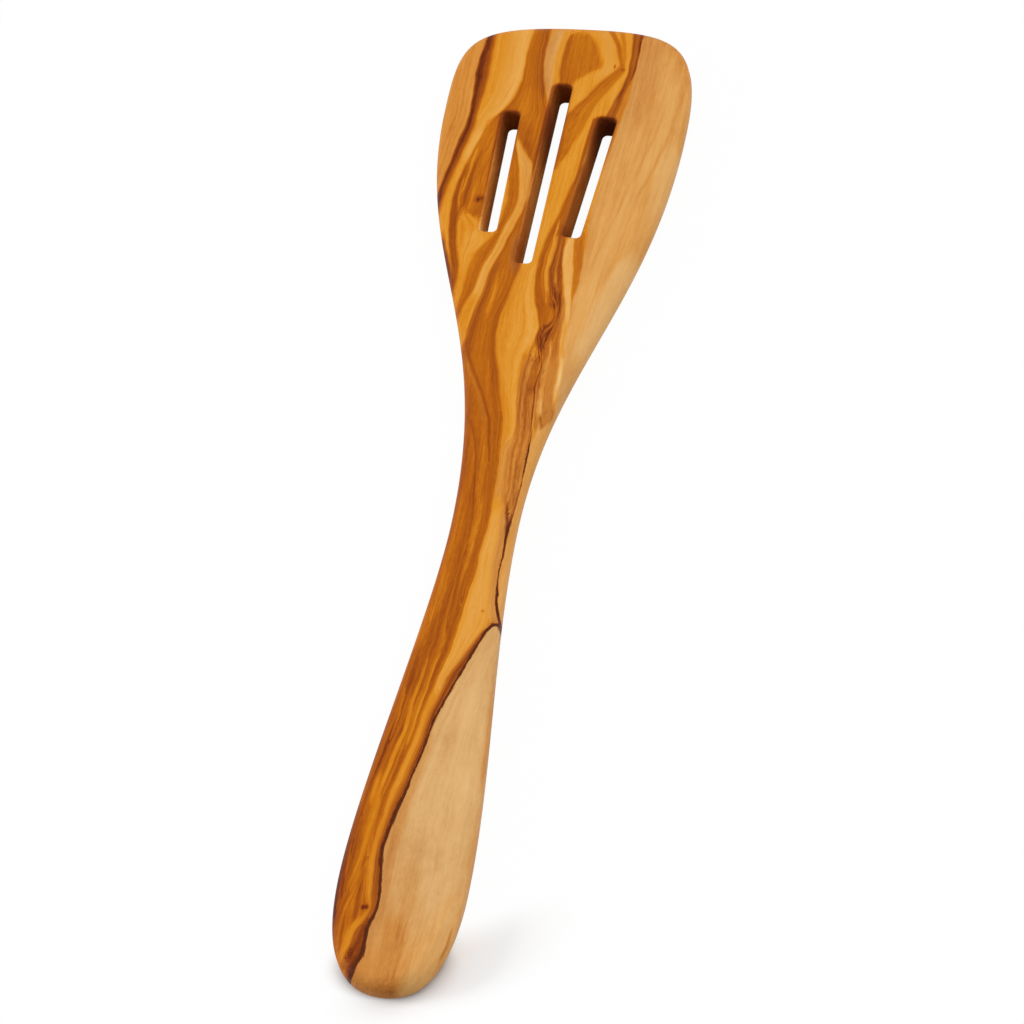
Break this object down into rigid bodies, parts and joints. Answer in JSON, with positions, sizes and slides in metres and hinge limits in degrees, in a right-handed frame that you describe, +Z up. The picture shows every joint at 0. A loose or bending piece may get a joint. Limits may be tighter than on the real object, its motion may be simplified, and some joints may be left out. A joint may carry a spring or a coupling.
{
  "type": "slotted spatula",
  "caption": "Flat one-piece wooden spatula with a wide rounded blade, long drain slots, a slim neck and a swelling rounded handle.",
  "frame": {"origin": "middle of the spatula's box, on the flat back face that it lies on", "axes": "+Y along the spatula from the handle's end to the blade's tip, +X to the right seen from above, +Z up out of the front face"},
  "size_m": [0.0666, 0.3, 0.009],
  "materials": {
    "olive_wood": "Oiled and finely sanded olive wood: golden to brown heartwood with dark growth lines, pale sapwood along one edge, a soft satin sheen."
  },
  "bodies": {
    "root": {"spatula_body": "olive_wood"}
  },
  "joints": []
}
